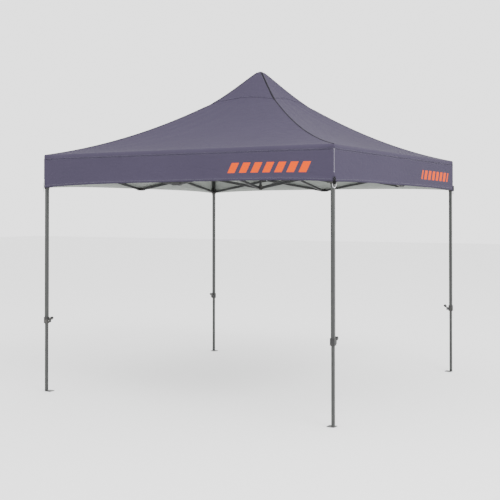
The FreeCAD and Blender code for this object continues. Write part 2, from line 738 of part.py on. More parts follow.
def corner_trim():
    """Webbing tab and steel ring on each corner of the valance, square to its diagonal."""
    tabs = []
    rings = []
    face = "(sqrt(2) * dims.canopy_half + dims.tab_gap)"
    low = "(dims.valance_bottom - dims.tab_length)"
    for index, leg in enumerate(LEGS):
        tab = box(f"tab_{leg}", (face, f"{face} + dims.tab_thick"),
                  ("-dims.tab_width / 2", "dims.tab_width / 2"),
                  (low, "dims.valance_bottom + dims.tab_lap"))
        ring = doc.addObject("Part::Torus", f"ring_{leg}")
        ring.Placement = Placement(Vector(), turned((0, 1, 0), QUARTER))
        bind(ring, Radius1="dims.ring_radius", Radius2="dims.ring_wire")
        move(ring, f"{face} + dims.tab_thick / 2", "0", f"{low} - dims.ring_radius - dims.ring_wire")
        for group, item in ((tabs, tab), (rings, ring)):
            holder = gather(f"{item.Name}_turned", [item])
            holder.Placement = quadrant(index, extra=turned((0, 0, 1), QUARTER / 2))
            group.append(holder)
    node(gather("tab_set", tabs), "corner_tabs")
    node(gather("ring_set", rings), "corner_rings")


# ---------------------------------------------------------------- checks and output
def check():
    """Stop if any object failed or any sub-part has no valid shape."""
    for item in doc.Objects:
        bad = [state for state in item.State if state in ("Invalid", "Error")]
        if bad:
            raise RuntimeError(f"{item.Label} ({item.Name}) is {bad}")
    for item in nodes:
        shape = item.Shape
        if shape.isNull() or not shape.isValid() or shape.Volume <= 0:
            raise RuntimeError(f"{item.Label} has no valid shape")


def write():
    """One STEP file per sub-part, named by its Label."""
    os.makedirs("parts", exist_ok=True)
    for item in nodes:
        item.Shape.exportStep(f"parts/{item.Label}.step")


def main():
    """Build every sub-part, check it and write it."""
    sheet = make_sheet()
    outer_legs(sheet)
    lower_legs(sheet)
    leg_fittings(sheet)
    lock_levers(sheet)
    sliders(sheet)
    mid_brackets(sheet)
    hubs(sheet)
    side_bars(sheet)
    radial_bars(sheet)
    peak_pole()
    pole_cap()
    canopy()
    corner_trim()
    doc.recompute()
    check()
    write()
    print(len(nodes), "sub-parts written")


main()
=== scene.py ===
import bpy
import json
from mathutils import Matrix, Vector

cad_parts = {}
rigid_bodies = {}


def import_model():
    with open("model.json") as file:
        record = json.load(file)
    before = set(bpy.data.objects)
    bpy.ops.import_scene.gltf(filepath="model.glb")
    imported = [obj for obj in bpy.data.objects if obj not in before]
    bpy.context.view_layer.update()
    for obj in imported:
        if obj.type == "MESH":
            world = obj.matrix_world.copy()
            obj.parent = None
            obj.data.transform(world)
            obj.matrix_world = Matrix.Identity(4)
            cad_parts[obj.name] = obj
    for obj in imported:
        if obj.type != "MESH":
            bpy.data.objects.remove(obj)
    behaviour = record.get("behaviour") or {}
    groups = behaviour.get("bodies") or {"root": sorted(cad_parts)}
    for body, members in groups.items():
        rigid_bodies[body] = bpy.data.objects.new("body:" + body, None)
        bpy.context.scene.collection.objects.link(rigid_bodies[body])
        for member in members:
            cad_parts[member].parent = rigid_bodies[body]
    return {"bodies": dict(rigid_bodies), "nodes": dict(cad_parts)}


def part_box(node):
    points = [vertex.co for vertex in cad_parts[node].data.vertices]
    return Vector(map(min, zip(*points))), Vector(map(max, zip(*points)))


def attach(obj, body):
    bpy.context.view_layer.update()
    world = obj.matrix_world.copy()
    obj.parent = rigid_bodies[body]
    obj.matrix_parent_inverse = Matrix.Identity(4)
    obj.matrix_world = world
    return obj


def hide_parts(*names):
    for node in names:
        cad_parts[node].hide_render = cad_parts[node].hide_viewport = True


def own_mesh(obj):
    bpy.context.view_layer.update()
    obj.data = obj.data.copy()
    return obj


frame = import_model()

"""Looks of the folding canopy shelter: cloth, seams, webbing, fittings and finishes.

Metres, +Z up, the frame of the CAD model.  A side's local frame has X outwards, Y along the side
and Z up; side and leg number k are that frame turned by k quarters about Z.
"""
import json
import logging
import math
from dataclasses import dataclass, field
from enum import Enum
from typing import Callable, Iterable, Sequence

import bmesh
import bpy
from mathutils import Matrix, Vector, noise

LOG = logging.getLogger("canopy_shelter")
SIDES = ("right", "back", "left", "front")
LEGS = ("back_right", "back_left", "front_left", "front_right")
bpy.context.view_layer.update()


class Finish(Enum):
    """Names of the record's material slots; nothing in this script uses them."""

    CLOTH = "canopy_cloth"
    WEBBING = "webbing"
    RING = "ring_steel"
    LEG = "leg_paint"
    LOWER_LEG = "lower_leg_paint"
    TRUSS = "truss_paint"
    POLE = "pole_paint"
    NYLON = "bracket_plastic"
    LEVER = "lever_plastic"


# ------------------------------------------------------------------ frame measures
def quarter(index: int) -> Matrix:
    """Turn about Z that carries side 0 to side index."""
    return Matrix.Rotation(math.radians(90) * index, 4, "Z")


@dataclass(frozen=True)
class Measures:
    """Sizes of the canopy, read from the CAD frame."""

    half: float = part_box("canopy")[1].x
    low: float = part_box("canopy")[0].z
    peak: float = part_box("canopy")[1].z
    eave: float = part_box("leg_fittings_front_right")[1].z + 0.005
    tip: float = 0.030
    crown: float = 0.40
    crown_share: float = 0.576
    straight: float = 0.468
    power: float = 1.18
    roll: float = 0.008
    soft_roll: float = 0.034
    seam_drop: float = 0.040
    corner: float = 0.009
    skin: float = 0.0012

    @property
    def rise(self) -> float:
        """Height of the peak over the eave."""
        return self.peak - self.eave

    @property
    def crown_foot(self) -> float:
        """Height of the hips at the foot of the steep crown."""
        return self.eave + self.rise * self.crown_share

    @property
    def roll_turn(self) -> float:
        """Turn of the cloth round the eave's edge, from the roof's slope to upright."""
        slope = self.straight * (self.crown_foot - self.eave) / (self.half - self.crown)
        return math.pi / 2 - math.atan(slope)

    @property
    def seam(self) -> float:
        """Height of the seam between roof and valance, a little under the eave's edge."""
        return self.eave - self.seam_drop

    def roll_at(self, slide: float) -> float:
        """Radius of the eave's edge: tight over the corner brackets, soft between them."""
        share = min((1 - abs(slide)) / 0.14, 1.0)
        return self.roll + (self.soft_roll - self.roll) * share * share * (3 - 2 * share)

    def hip_height(self, reach: float) -> float:
        """Height of the hip where the roof's square section has half width reach."""
        if reach >= self.crown:
            share = (self.half - reach) / (self.half - self.crown)
            bend = self.straight * share + (1 - self.straight) * share ** 2
            return self.eave + (self.crown_foot - self.eave) * bend
        blunt = math.hypot(reach, self.tip) - self.tip
        share = 1 - blunt / (math.hypot(self.crown, self.tip) - self.tip)
        return self.crown_foot + (self.peak - self.crown_foot) * share ** self.power

    def slope(self, reach: float) -> float:
        """Steepness of the roof at a half width of its section."""
        step = 0.004
        return (self.hip_height(max(reach - step, 0)) - self.hip_height(reach + step)) / (2 * step)


SIZE = Measures()
STRAIGHT = 0.96


def section(reach: float, slide: float) -> tuple[Vector, Vector]:
    """Place on a square section of the canopy, its corners rounded.

    Args:
        reach: the section's half width.
        slide: place along side 0, -1 to 1 from corner to corner.

    Returns:
        The place and the outward direction there, both level, in side 0's frame.
    """
    corner = min(SIZE.corner, reach / 2)
    turn = math.copysign(max(abs(slide) - STRAIGHT, 0.0) / (1 - STRAIGHT) * math.pi / 4, slide)
    outward = Vector((math.cos(turn), math.sin(turn), 0))
    along = max(min(slide / STRAIGHT, 1.0), -1.0) * (reach - corner)
    return Vector((reach - corner, along, 0)) + outward * corner, outward


def slides(columns: int) -> list[float]:
    """Places along a section, evenly spread and with three more round each corner."""
    arc = [STRAIGHT + (1 - STRAIGHT) * step / 3 for step in range(1, 4)]
    flat = [STRAIGHT * (-1 + 2 * column / (columns - 1)) for column in range(columns)]
    return [-place for place in reversed(arc)] + flat + arc


# ------------------------------------------------------------------ node helpers
class NodeTree:
    """Short way to add and join nodes of one tree."""

    def __init__(self, tree: bpy.types.NodeTree) -> None:
        """Wrap a node tree."""
        self.tree = tree

    def add(self, kind: str, inputs: dict | None = None, **props: object) -> bpy.types.Node:
        """Add a node.

        Args:
            kind: the node's type name.
            inputs: values or output sockets for its inputs, by name or number.
            **props: properties set on the node.

        Returns:
            The new node.
        """
        node = self.tree.nodes.new(kind)
        for name, value in props.items():
            setattr(node, name, value)
        for key, value in (inputs or {}).items():
            self.feed(node, key, value)
        return node

    def feed(self, node: bpy.types.Node, key: str | int, value: object) -> None:
        """Set an input socket to a value, or join an output socket to it."""
        socket = node.inputs[key]
        if isinstance(value, bpy.types.NodeSocket):
            self.tree.links.new(value, socket)
        else:
            socket.default_value = value

    def math(self, operation: str, one: object, two: object = 0.0) -> bpy.types.NodeSocket:
        """Output of a Math node."""
        return self.add("ShaderNodeMath", {0: one, 1: two}, operation=operation).outputs[0]

    def mix(self, share: object, one: object, two: object) -> bpy.types.NodeSocket:
        """Colour between one and two."""
        node = self.add("ShaderNodeMix", data_type="RGBA")
        for socket, value in ((node.inputs[0], share), (node.inputs[6], one), (node.inputs[7], two)):
            if isinstance(value, bpy.types.NodeSocket):
                self.tree.links.new(value, socket)
            else:
                socket.default_value = value
        return node.outputs[2]

    def ramp(self, value: object, low: float, high: float) -> bpy.types.NodeSocket:
        """Value mapped from low..high to 0..1, clamped and smooth."""
        node = self.add("ShaderNodeMapRange", {0: value, 1: low, 2: high}, interpolation_type="SMOOTHSTEP")
        return node.outputs[0]


def new_group(name: str, inputs: dict[str, tuple[str, object]], outputs: dict[str, str]) -> NodeTree:
    """Start a shader node group with named sockets.

    Args:
        name: the group's name.
        inputs: socket type and default for each input's name.
        outputs: socket type for each output's name.

    Returns:
        The group's tree, with its input and output nodes in place.
    """
    tree = bpy.data.node_groups.new(name, "ShaderNodeTree")
    for label, (kind, value) in inputs.items():
        socket = tree.interface.new_socket(label, in_out="INPUT", socket_type=kind)
        if value is not None:
            socket.default_value = value
    for label, kind in outputs.items():
        tree.interface.new_socket(label, in_out="OUTPUT", socket_type=kind)
    nodes = NodeTree(tree)
    nodes.source = nodes.add("NodeGroupInput").outputs
    nodes.result = nodes.add("NodeGroupOutput")
    return nodes


FLOAT = "NodeSocketFloat"
VECTOR = "NodeSocketVector"
COLOR = "NodeSocketColor"


def weave_group() -> bpy.types.NodeTree:
    """Plain weave: crossing yarns as height, with a slow change of shade along single yarns."""
    nodes = new_group("plain weave", {"UV": (VECTOR, None), "Yarns per metre": (FLOAT, 900.0)},
                      {"Height": FLOAT, "Shade": FLOAT})
    parts = nodes.add("ShaderNodeSeparateXYZ", {0: nodes.source["UV"]}).outputs
    turns = nodes.math("MULTIPLY", nodes.source["Yarns per metre"], math.pi)
    warp = nodes.math("SINE", nodes.math("MULTIPLY", parts[0], turns))
    weft = nodes.math("SINE", nodes.math("MULTIPLY", parts[1], turns))
    height = nodes.math("MULTIPLY", warp, weft)
    nodes.feed(nodes.result, "Height", nodes.math("MULTIPLY_ADD", height, 0.5))
    slub = nodes.add("ShaderNodeMapping", {0: nodes.source["UV"], 3: (2.0, 260.0, 1.0)})
    streak = nodes.add("ShaderNodeTexNoise", {"Vector": slub.outputs[0], "Scale": 1.0, "Detail": 2.0})
    nodes.feed(nodes.result, "Shade", streak.outputs[0])
    return nodes.tree


def crease_group() -> bpy.types.NodeTree:
    """Soft creases and the broad, faint clouding of cloth that has been packed away."""
    nodes = new_group("packed creases", {"UV": (VECTOR, None)}, {"Height": FLOAT, "Cloud": FLOAT})
    stretch = nodes.add("ShaderNodeMapping", {0: nodes.source["UV"], 3: (1.0, 1.6, 1.0)})
    crumple = nodes.add("ShaderNodeTexNoise", {"Vector": stretch.outputs[0], "Scale": 5.0,
                                               "Detail": 5.0, "Roughness": 0.55, "Distortion": 0.6})
    ridge = nodes.math("ABSOLUTE", nodes.math("SUBTRACT", crumple.outputs[0], 0.5))
    nodes.feed(nodes.result, "Height", nodes.ramp(ridge, 0.0, 0.10))
    cloud = nodes.add("ShaderNodeTexNoise", {"Vector": nodes.source["UV"], "Scale": 1.3, "Detail": 3.0})
    nodes.feed(nodes.result, "Cloud", cloud.outputs[0])
    return nodes.tree


def scuff_group() -> bpy.types.NodeTree:
    """Handling marks on hard surfaces: fine scratches and dusty patches."""
    nodes = new_group("handling marks", {"Position": (VECTOR, None), "Scale": (FLOAT, 30.0)},
                      {"Scratch": FLOAT, "Dust": FLOAT})
    long = nodes.add("ShaderNodeMapping", {0: nodes.source["Position"], 3: (1.0, 1.0, 0.12)})
    fine = nodes.add("ShaderNodeTexNoise", {"Vector": long.outputs[0], "Detail": 6.0, "Roughness": 0.7})
    nodes.feed(fine, "Scale", nodes.math("MULTIPLY", nodes.source["Scale"], 6.0))
    nodes.feed(nodes.result, "Scratch", nodes.ramp(fine.outputs[0], 0.66, 0.74))
    patch = nodes.add("ShaderNodeTexNoise", {"Vector": nodes.source["Position"], "Detail": 4.0})
    nodes.feed(patch, "Scale", nodes.source["Scale"])
    nodes.feed(nodes.result, "Dust", nodes.ramp(patch.outputs[0], 0.45, 0.8))
    return nodes.tree


GROUPS = {"weave": weave_group(), "crease": crease_group(), "scuff": scuff_group()}


# ------------------------------------------------------------------ materials
def srgb(red: float, green: float, blue: float) -> tuple[float, float, float, float]:
    """Linear colour of an 8-bit display colour."""
    def linear(value: float) -> float:
        """One channel."""
        share = value / 255
        return share / 12.92 if share <= 0.04045 else ((share + 0.055) / 1.055) ** 2.4
    return (linear(red), linear(green), linear(blue), 1.0)


@dataclass(frozen=True)
class Surface:
    """Base of every finish: one Principled shader and its tree."""

    name: str
    color: tuple[float, float, float, float]
    roughness: float = 0.5

    def start(self) -> tuple[bpy.types.Material, NodeTree, bpy.types.Node]:
        """New material, its tree and its shader."""
        material = bpy.data.materials.new(self.name)
        material.use_nodes = True
        nodes = NodeTree(material.node_tree)
        shader = material.node_tree.nodes["Principled BSDF"]
        shader.inputs["Base Color"].default_value = self.color
        shader.inputs["Roughness"].default_value = self.roughness
        return material, nodes, shader

    def bump(self, nodes: NodeTree, shader: bpy.types.Node, height: object, depth: float) -> None:
        """Relief of the given depth in metres."""
        relief = nodes.add("ShaderNodeBump", {"Height": height, "Distance": depth, "Strength": 1.0})
        nodes.feed(shader, "Normal", relief.outputs[0])

    def shaded(self, factor: float) -> tuple[float, float, float, float]:
        """The finish's colour, lighter or darker."""
        return tuple(channel * factor for channel in self.color[:3]) + (1.0,)


@dataclass(frozen=True)
class Cloth(Surface):
    """Coated woven polyester; its patterns follow the piece's own UV map, in metres."""

    yarns: float = 900.0
    sheen: float = 0.0
    crease: float = 0.0012
    band: tuple[float, float, float, float] | None = None
    band_color: tuple[float, float, float, float] = (0.0, 0.0, 0.0, 1.0)

    def build(self) -> bpy.types.Material:
        """Material of this cloth."""
        material, nodes, shader = self.start()
        place = nodes.add("ShaderNodeUVMap", uv_map="cloth").outputs[0]
        weave = nodes.add("ShaderNodeGroup", node_tree=GROUPS["weave"])
        nodes.feed(weave, "UV", place)
        weave.inputs["Yarns per metre"].default_value = self.yarns
        crease = nodes.add("ShaderNodeGroup", node_tree=GROUPS["crease"])
        nodes.feed(crease, "UV", place)
        tone = nodes.mix(crease.outputs["Cloud"], self.shaded(0.90), self.shaded(1.10))
        yarn = nodes.math("MULTIPLY", weave.outputs["Shade"], 0.35)
        tone = nodes.mix(yarn, tone, self.shaded(0.78))
        if self.band is not None:
            tone = nodes.mix(self.stripes(nodes, place), tone, self.band_color)
        nodes.feed(shader, "Base Color", tone)
        rough = nodes.math("MULTIPLY_ADD", weave.outputs["Shade"], 0.16)
        rough.node.inputs[2].default_value = self.roughness - 0.08
        nodes.feed(shader, "Roughness", rough)
        shader.inputs["Sheen Weight"].default_value = self.sheen
        shader.inputs["Specular IOR Level"].default_value = 0.10
        yarns = nodes.math("MULTIPLY", weave.outputs["Height"], 0.10)
        self.bump(nodes, shader, nodes.math("ADD", yarns, crease.outputs["Height"]), self.crease)
        return material

    def stripes(self, nodes: NodeTree, place: bpy.types.NodeSocket) -> bpy.types.NodeSocket:
        """Mask of a band of slanted bars inside the band's box (u0, u1, v0, v1)."""
        left, right, low, high = self.band
        parts = nodes.add("ShaderNodeSeparateXYZ", {0: place}).outputs
        slant = nodes.math("MULTIPLY_ADD", parts[1], -0.45)
        nodes.feed(slant.node, 2, parts[0])
        pitch = (right - left) / 7
        phase = nodes.math("FRACT", nodes.math("DIVIDE", slant, pitch))
        bars = nodes.math("LESS_THAN", phase, 0.62)
        inside = nodes.math("MULTIPLY", nodes.math("GREATER_THAN", slant, left - 0.45 * low),
                            nodes.math("LESS_THAN", slant, right - 0.45 * low))
        tall = nodes.math("MULTIPLY", nodes.math("GREATER_THAN", parts[1], low),
                          nodes.math("LESS_THAN", parts[1], high))
        return nodes.math("MULTIPLY", bars, nodes.math("MULTIPLY", inside, tall))


@dataclass(frozen=True)
class HardFinish(Surface):
    """Paint, plastic or plated metal, its patterns in the piece's own space."""

    metallic: float = 0.0
    grain: float = 900.0
    grain_depth: float = 0.00006
    marks: float = 30.0
    scratch_color: tuple[float, float, float, float] = (0.5, 0.5, 0.5, 1.0)
    scratches: float = 0.25
    dust: float = 0.12
    coat: float = 0.0

    def build(self) -> bpy.types.Material:
        """Material of this finish."""
        material, nodes, shader = self.start()
        place = nodes.add("ShaderNodeTexCoord").outputs["Object"]
        marks = nodes.add("ShaderNodeGroup", node_tree=GROUPS["scuff"])
        nodes.feed(marks, "Position", place)
        marks.inputs["Scale"].default_value = self.marks
        worn = nodes.math("MULTIPLY", marks.outputs["Scratch"], self.scratches)
        tone = nodes.mix(worn, self.color, self.scratch_color)
        dusty = nodes.math("MULTIPLY", marks.outputs["Dust"], self.dust)
        tone = nodes.mix(dusty, tone, srgb(176, 172, 165))
        nodes.feed(shader, "Base Color", tone)
        rough = nodes.math("MULTIPLY_ADD", marks.outputs["Dust"], 0.22)
        rough.node.inputs[2].default_value = self.roughness
        nodes.feed(shader, "Roughness", rough)
        shader.inputs["Metallic"].default_value = self.metallic
        shader.inputs["Coat Weight"].default_value = self.coat
        grain = nodes.add("ShaderNodeTexNoise", {"Vector": place, "Scale": self.grain, "Detail": 2.0})
        self.bump(nodes, shader, grain.outputs[0], self.grain_depth)
        return material


SLATE = srgb(59, 54, 70)
ORANGE = srgb(205, 70, 0)
MATERIALS: dict[str, bpy.types.Material] = {
    "roof": Cloth("slate roof cloth", SLATE, 0.85).build(),
    "valance": Cloth("slate valance cloth", SLATE, 0.85).build(),
    "valance_front": Cloth("slate valance cloth with long bars", SLATE, 0.85,
                           band=(2.01, 2.78, 0.074, 0.170), band_color=ORANGE).build(),
    "valance_right": Cloth("slate valance cloth with short bars", SLATE, 0.85,
                           band=(1.99, 2.78, 0.082, 0.176), band_color=ORANGE).build(),
    "lining": Cloth("silver coated lining", srgb(150, 154, 150), 0.5, sheen=0.0).build(),
    # Hip seam tape: near-black, partly the tape's own colour and partly painted shade along the hip ridge.
    "seam": Cloth("hip seam tape darkened with painted shade", srgb(20, 18, 27), 0.7, yarns=1200).build(),
    "cord": HardFinish("pale braided cord", srgb(150, 146, 160), 0.6, grain=1600,
                       grain_depth=0.0002).build(),
    "webbing": Cloth("black webbing", srgb(13, 13, 14), 0.8, yarns=500, crease=0.0006).build(),
    "thread": HardFinish("slate thread", srgb(92, 88, 104), 0.7, grain=2500).build(),
    "leg": HardFinish("silver grey powder coat", srgb(40, 42, 41), 0.42, metallic=0.2, dust=0.03,
                      scratch_color=srgb(190, 190, 190), coat=0.1).build(),
    "foot": HardFinish("dark foot plate paint", srgb(52, 54, 55), 0.5).build(),
    "truss": HardFinish("charcoal powder coat", srgb(26, 27, 28), 0.45, grain=1500, dust=0.03).build(),
    "nylon": HardFinish("black moulded nylon", srgb(14, 14, 15), 0.52, grain=1800,
                        grain_depth=0.00010, scratch_color=srgb(90, 90, 90)).build(),
    "lever": HardFinish("black lever nylon", srgb(12, 12, 13), 0.45, grain=1600).build(),
    "zinc": HardFinish("zinc plated rivet", srgb(172, 174, 178), 0.34, metallic=1.0,
                       scratch_color=srgb(120, 120, 120)).build(),
    "ring": HardFinish("plated ring steel", srgb(205, 206, 210), 0.22, metallic=1.0, dust=0.04).build(),
}


# ------------------------------------------------------------------ mesh helpers
def mesh_object(name: str, verts: Sequence[Vector], faces: Iterable[Sequence[int]],
                uvs: Sequence[tuple[float, float]] | None = None, smooth: bool = True) -> bpy.types.Object:
    """Make a mesh object at the origin.

    Args:
        name: the object's name.
        verts: its points, in the frame.
        faces: point numbers of each face.
        uvs: a place in metres on the cloth for each point.
        smooth: whether its faces are shaded smooth.

    Returns:
        The new object, in the scene.
    """
    mesh = bpy.data.meshes.new(name)
    mesh.from_pydata([tuple(point) for point in verts], [], [tuple(face) for face in faces])
    if uvs is not None:
        layer = mesh.uv_layers.new(name="cloth")
        for loop in mesh.loops:
            layer.data[loop.index].uv = uvs[loop.vertex_index]
    for polygon in mesh.polygons:
        polygon.use_smooth = smooth
    item = bpy.data.objects.new(name, mesh)
    bpy.context.scene.collection.objects.link(item)
    return item


def grid_faces(rows: int, columns: int, first: int = 0) -> list[tuple[int, int, int, int]]:
    """Quads of a grid whose points run row by row."""
    faces = []
    for row in range(rows - 1):
        for column in range(columns - 1):
            start = first + row * columns + column
            faces.append((start, start + 1, start + columns + 1, start + columns))
    return faces


def merge(item: bpy.types.Object, distance: float = 0.00005) -> None:
    """Join points that lie on each other."""
    mesh = bmesh.new()
    mesh.from_mesh(item.data)
    bmesh.ops.remove_doubles(mesh, verts=mesh.verts, dist=distance)
    mesh.to_mesh(item.data)
    mesh.free()


def thicken(item: bpy.types.Object, thickness: float, lining: bool = False) -> None:
    """Give a sheet its thickness, inwards, and apply it; a lining takes the second material."""
    wall = item.modifiers.new("thickness", "SOLIDIFY")
    wall.thickness = thickness
    wall.offset = -1.0
    wall.use_even_offset = True
    wall.material_offset = 1 if lining else 0
    apply_modifiers(item)


def apply_modifiers(item: bpy.types.Object) -> None:
    """Replace an object's mesh by what its modifiers make of it, and remove them."""
    graph = bpy.context.evaluated_depsgraph_get()
    graph.update()
    mesh = bpy.data.meshes.new_from_object(item.evaluated_get(graph), depsgraph=graph)
    item.modifiers.clear()
    old = item.data
    item.data = mesh
    bpy.data.meshes.remove(old)


def dress(item: bpy.types.Object, *names: str) -> None:
    """Put the named materials in an object's slots, in order."""
    item.data.materials.clear()
    for name in names:
        item.data.materials.append(MATERIALS[name])


# ------------------------------------------------------------------ moving with the frame
def follow_legs(item: bpy.types.Object) -> None:
    """Let a roof piece gather with the four legs and come down with the peak pole."""
    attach(item, "upper_hub")
    shares: dict[str, Callable[[Vector], float]] = {}
    for index, leg in enumerate(LEGS):
        corner = quarter(index) @ Vector((1.0, 1.0, 0.0))
        shares[f"leg_{leg}"] = (lambda point, sign=corner: (1 + sign.x * point.x / SIZE.half)
                                * (1 + sign.y * point.y / SIZE.half) / 4)
    shares["peak_pole"] = lambda point: (point.z - SIZE.eave) / SIZE.rise
    for body, share in shares.items():
        group = item.vertex_groups.new(name=body)
        for vertex in item.data.vertices:
            group.add([vertex.index], min(max(share(vertex.co), 0.0), 1.0), "REPLACE")
        hook = item.modifiers.new(f"gather with {body}", "HOOK")
        hook.object = frame["bodies"][body]
        hook.vertex_group = body
        hook.matrix_inverse = Matrix.Identity(4)
        hook.falloff_type = "NONE"


def follow_side(item: bpy.types.Object, index: int) -> None:
    """Let a valance piece move in with the middle of its side."""
    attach(item, f"upper_mid_bracket_{SIDES[index]}")
    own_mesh(item)


# ------------------------------------------------------------------ stitches
def stitch_tree() -> bpy.types.NodeTree:
    """Geometry Nodes tree that lays thread stitches along the edges of a line mesh."""
    tree = bpy.data.node_groups.new("stitch rows", "GeometryNodeTree")
    for label, kind, in_out in (("Lines", "NodeSocketGeometry", "INPUT"), ("Pitch", FLOAT, "INPUT"),
                                ("Stitch", FLOAT, "INPUT"), ("Thread", FLOAT, "INPUT"),
                                ("Material", "NodeSocketMaterial", "INPUT"),
                                ("Stitches", "NodeSocketGeometry", "OUTPUT")):
        tree.interface.new_socket(label, in_out=in_out, socket_type=kind)
    nodes = NodeTree(tree)
    source = nodes.add("NodeGroupInput").outputs
    curve = nodes.add("GeometryNodeMeshToCurve", {0: source["Lines"]}).outputs[0]
    dots = nodes.add("GeometryNodeCurveToPoints", {"Curve": curve, "Length": source["Pitch"]}, mode="LENGTH")
    thread = nodes.add("GeometryNodeMeshCylinder", {"Vertices": 5, "Radius": source["Thread"],
                                                    "Depth": source["Stitch"]}).outputs[0]
    laid = nodes.add("GeometryNodeInstanceOnPoints", {"Points": dots.outputs["Points"], "Instance": thread,
                                                      "Rotation": dots.outputs["Rotation"]}).outputs[0]
    solid = nodes.add("GeometryNodeRealizeInstances", {0: laid}).outputs[0]
    painted = nodes.add("GeometryNodeSetMaterial", {"Geometry": solid, "Material": source["Material"]})
    nodes.add("NodeGroupOutput", {0: painted.outputs[0]})
    return tree


STITCH_TREE = stitch_tree()


@dataclass
class StitchRows:
    """Rows of thread along given lines."""

    pitch: float = 0.008
    stitch: float = 0.0052
    thread: float = 0.0005

    def lay(self, name: str, lines: Iterable[Sequence[Vector]]) -> bpy.types.Object:
        """Make the stitches.

        Args:
            name: the piece's name.
            lines: points of each row, on the cloth.

        Returns:
            One plain mesh object with every stitch.
        """
        verts: list[Vector] = []
        edges: list[tuple[int, int]] = []
        for line in lines:
            first = len(verts)
            verts += list(line)
            edges += [(first + step, first + step + 1) for step in range(len(line) - 1)]
        mesh = bpy.data.meshes.new(name)
        mesh.from_pydata([tuple(point) for point in verts], edges, [])
        item = bpy.data.objects.new(name, mesh)
        bpy.context.scene.collection.objects.link(item)
        rows = item.modifiers.new("stitches", "NODES")
        rows.node_group = STITCH_TREE
        values = {"Pitch": self.pitch, "Stitch": self.stitch, "Thread": self.thread,
                  "Material": MATERIALS["thread"]}
        for socket in STITCH_TREE.interface.items_tree:
            if socket.in_out == "INPUT" and socket.name in values:
                rows[socket.identifier] = values[socket.name]
        apply_modifiers(item)
        dress(item, "thread")
        return item


# ------------------------------------------------------------------ roof
def ribbon(name: str, line: Sequence[Vector], across: Sequence[Vector], out: Sequence[Vector],
           profiles: Sequence[Sequence[tuple[float, float]]], closed: bool = False) -> bpy.types.Object:
    """Sweep closed profiles along a line.

    Args:
        name: the piece's name.
        line: points of the path.
        across: direction of the profile's first coordinate at each point.
        out: direction of its second coordinate at each point.
        profiles: corners of the profile at each point.
        closed: whether the path returns to its start.

    Returns:
        The new object, with its length and girth as its UV map.
    """
    verts, uvs, faces = [], [], []
    girth = len(profiles[0])
    travelled = 0.0
    for step, point in enumerate(line):
        travelled += (point - line[step - 1]).length if step else 0.0
        for corner, (side, up) in enumerate(profiles[step]):
            verts.append(point + across[step] * side + out[step] * up)
            uvs.append((travelled, corner * 0.004))
    steps = len(line) if closed else len(line) - 1
    for step in range(steps):
        following = (step + 1) % len(line)
        for corner in range(girth):
            beside = (corner + 1) % girth
            faces.append((step * girth + corner, step * girth + beside,
                          following * girth + beside, following * girth + corner))
    if not closed:
        faces.append(tuple(reversed(range(girth))))
        faces.append(tuple((len(line) - 1) * girth + corner for corner in range(girth)))
    item = mesh_object(name, verts, faces, uvs)
    mesh = bmesh.new()
    mesh.from_mesh(item.data)
    bmesh.ops.recalc_face_normals(mesh, faces=mesh.faces)
    mesh.to_mesh(item.data)
    mesh.free()
    return item


def circle(radius: float, corners: int = 8) -> list[tuple[float, float]]:
    """Corners of a round profile."""
    return [(radius * math.cos(math.tau * turn / corners), radius * math.sin(math.tau * turn / corners))
            for turn in range(corners)]


